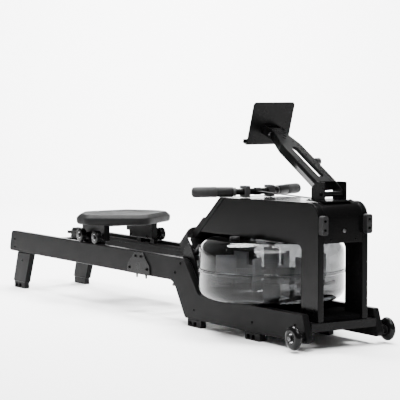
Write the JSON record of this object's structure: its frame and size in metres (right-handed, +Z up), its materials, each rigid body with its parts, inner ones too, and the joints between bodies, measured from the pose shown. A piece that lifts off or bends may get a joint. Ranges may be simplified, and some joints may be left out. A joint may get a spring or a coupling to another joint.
{
  "type": "rowing machine",
  "caption": "Black rowing machine with a clear round water tank, rolling seat on twin side boards, swept pull handle, foot rests, tablet arm and transport wheels.",
  "frame": {"origin": "on the floor, under the middle of the overall length and on the centre line", "axes": "+X towards the tank and transport wheels, +Y to the seated user's left, +Z up"},
  "size_m": [2.109, 0.503, 0.7818],
  "materials": {
    "black_frame": "satin black powder coat",
    "matt_board": "matt black powder coat",
    "rubber": "matt moulded rubber",
    "wheel_tyre": "semi-gloss moulded tyre",
    "grip_foam": "soft closed-cell foam sleeve",
    "seat_foam": "moulded satin polyurethane foam",
    "black_plastic": "fine-textured injection moulding",
    "steel": "zinc plated",
    "clear_tank": "clear polished polycarbonate",
    "impeller_plastic": "light grey moulding",
    "webbing": "woven nylon webbing"
  },
  "bodies": {
    "frame": {"footrest_frame": "black_frame", "front_crossbar": "black_frame", "left_bumper": "rubber", "left_foot_plate": "black_plastic", "left_foot_strap": "webbing", "left_front_foot": "rubber", "left_front_frame": "matt_board", "left_handle_holder": "black_plastic", "left_junction_plate": "black_frame", "left_middle_foot": "rubber", "left_rear_foot": "rubber", "left_rear_leg": "matt_board", "left_rear_rail": "matt_board", "left_side_panel": "black_frame", "left_wheel_axle": "steel", "middle_crossmember": "black_frame", "rear_cover": "matt_board", "rear_crossmember": "black_frame", "right_bumper": "rubber", "right_foot_plate": "black_plastic", "right_foot_strap": "webbing", "right_front_foot": "rubber", "right_front_frame": "matt_board", "right_handle_holder": "black_plastic", "right_junction_plate": "black_frame", "right_middle_foot": "rubber", "right_rear_foot": "rubber", "right_rear_leg": "matt_board", "right_rear_rail": "matt_board", "right_side_panel": "black_frame", "right_wheel_axle": "steel", "tablet_base": "black_frame", "tank_crossbar": "black_frame", "tank_lower_shell": "clear_tank", "tank_tray": "black_frame", "tank_upper_shell": "clear_tank", "toe_board": "matt_board", "top_cover": "black_frame"},
    "seat": {"seat_carriage": "black_frame", "seat_pad": "seat_foam"},
    "handle": {"handle_bar": "black_frame", "right_grip": "grip_foam", "left_grip": "grip_foam", "pull_strap": "webbing"},
    "reel": {"strap_reel": "black_plastic"},
    "impeller_rotor": {"impeller": "impeller_plastic"},
    "arm": {"tablet_arm": "black_frame"},
    "knob": {"tablet_arm_knob": "black_plastic"},
    "tablet": {"tablet_tilt_bracket": "black_frame", "tablet_plate": "black_frame"},
    "right_heel": {"right_heel_cup": "black_plastic"},
    "right_wheel": {"right_transport_wheel": "wheel_tyre"},
    "right_front_seat_wheel": {"right_front_roller": "wheel_tyre"},
    "right_rear_seat_wheel": {"right_rear_roller": "wheel_tyre"},
    "left_heel": {"left_heel_cup": "black_plastic"},
    "left_wheel": {"left_transport_wheel": "wheel_tyre"},
    "left_front_seat_wheel": {"left_front_roller": "wheel_tyre"},
    "left_rear_seat_wheel": {"left_rear_roller": "wheel_tyre"}
  },
  "joints": [
    {"name": "seat_slide", "type": "slide", "parent": "frame", "child": "seat", "axis": [1, 0, 0], "range_m": [-0.48, 0.31]},
    {"name": "handle_pull", "type": "slide", "parent": "frame", "child": "handle", "axis": [-1, 0, 0], "range_m": [0, 1.1]},
    {"name": "reel_turn", "type": "hinge", "parent": "frame", "child": "reel", "pos_m": [0.86453, 0, 0.395], "axis": [0, 1, 0], "range_deg": [-1580, 0]},
    {"name": "impeller_spin", "type": "hinge", "parent": "frame", "child": "impeller_rotor", "pos_m": [0.62853, 0, 0.22], "axis": [0, 0, 1], "continuous": true},
    {"name": "arm_lift", "type": "hinge", "parent": "frame", "child": "arm", "pos_m": [0.96453, 0, 0.49], "axis": [0, 1, 0], "range_deg": [-15, 45]},
    {"name": "tablet_tilt", "type": "hinge", "parent": "arm", "child": "tablet", "pos_m": [0.65623, 0, 0.6762], "axis": [0, 1, 0], "range_deg": [-30, 30]},
    {"name": "knob_turn", "type": "hinge", "parent": "arm", "child": "knob", "pos_m": [0.81553, 0.05, 0.588], "axis": [0, 1, 0], "continuous": true},
    {"name": "right_heel_adjust", "type": "slide", "parent": "frame", "child": "right_heel", "axis": [0.7431, 0, 0.6691], "range_m": [0, 0.055]},
    {"name": "right_wheel_roll", "type": "hinge", "parent": "frame", "child": "right_wheel", "pos_m": [1.01553, -0.188, 0.0465], "axis": [0, 1, 0], "continuous": true},
    {"name": "right_front_seat_wheel_roll", "type": "hinge", "parent": "seat", "child": "right_front_seat_wheel", "pos_m": [-0.32747, -0.1422, 0.259], "axis": [0, 1, 0], "range_deg": [-1125, 730]},
    {"name": "right_rear_seat_wheel_roll", "type": "hinge", "parent": "seat", "child": "right_rear_seat_wheel", "pos_m": [-0.44747, -0.1422, 0.259], "axis": [0, 1, 0], "range_deg": [-1125, 730]},
    {"name": "left_heel_adjust", "type": "slide", "parent": "frame", "child": "left_heel", "axis": [0.7431, 0, 0.6691], "range_m": [0, 0.055]},
    {"name": "left_wheel_roll", "type": "hinge", "parent": "frame", "child": "left_wheel", "pos_m": [1.01553, 0.188, 0.0465], "axis": [0, 1, 0], "continuous": true},
    {"name": "left_front_seat_wheel_roll", "type": "hinge", "parent": "seat", "child": "left_front_seat_wheel", "pos_m": [-0.32747, 0.1422, 0.259], "axis": [0, 1, 0], "range_deg": [-1125, 730]},
    {"name": "left_rear_seat_wheel_roll", "type": "hinge", "parent": "seat", "child": "left_rear_seat_wheel", "pos_m": [-0.44747, 0.1422, 0.259], "axis": [0, 1, 0], "range_deg": [-1125, 730]}
  ],
  "couplings": [
    {"joint": "reel_turn", "follows": "handle_pull", "rad_per_m": -25},
    {"joint": "right_front_seat_wheel_roll", "follows": "seat_slide", "rad_per_m": 40.486},
    {"joint": "right_rear_seat_wheel_roll", "follows": "seat_slide", "rad_per_m": 40.486},
    {"joint": "left_front_seat_wheel_roll", "follows": "seat_slide", "rad_per_m": 40.486},
    {"joint": "left_rear_seat_wheel_roll", "follows": "seat_slide", "rad_per_m": 40.486}
  ]
}
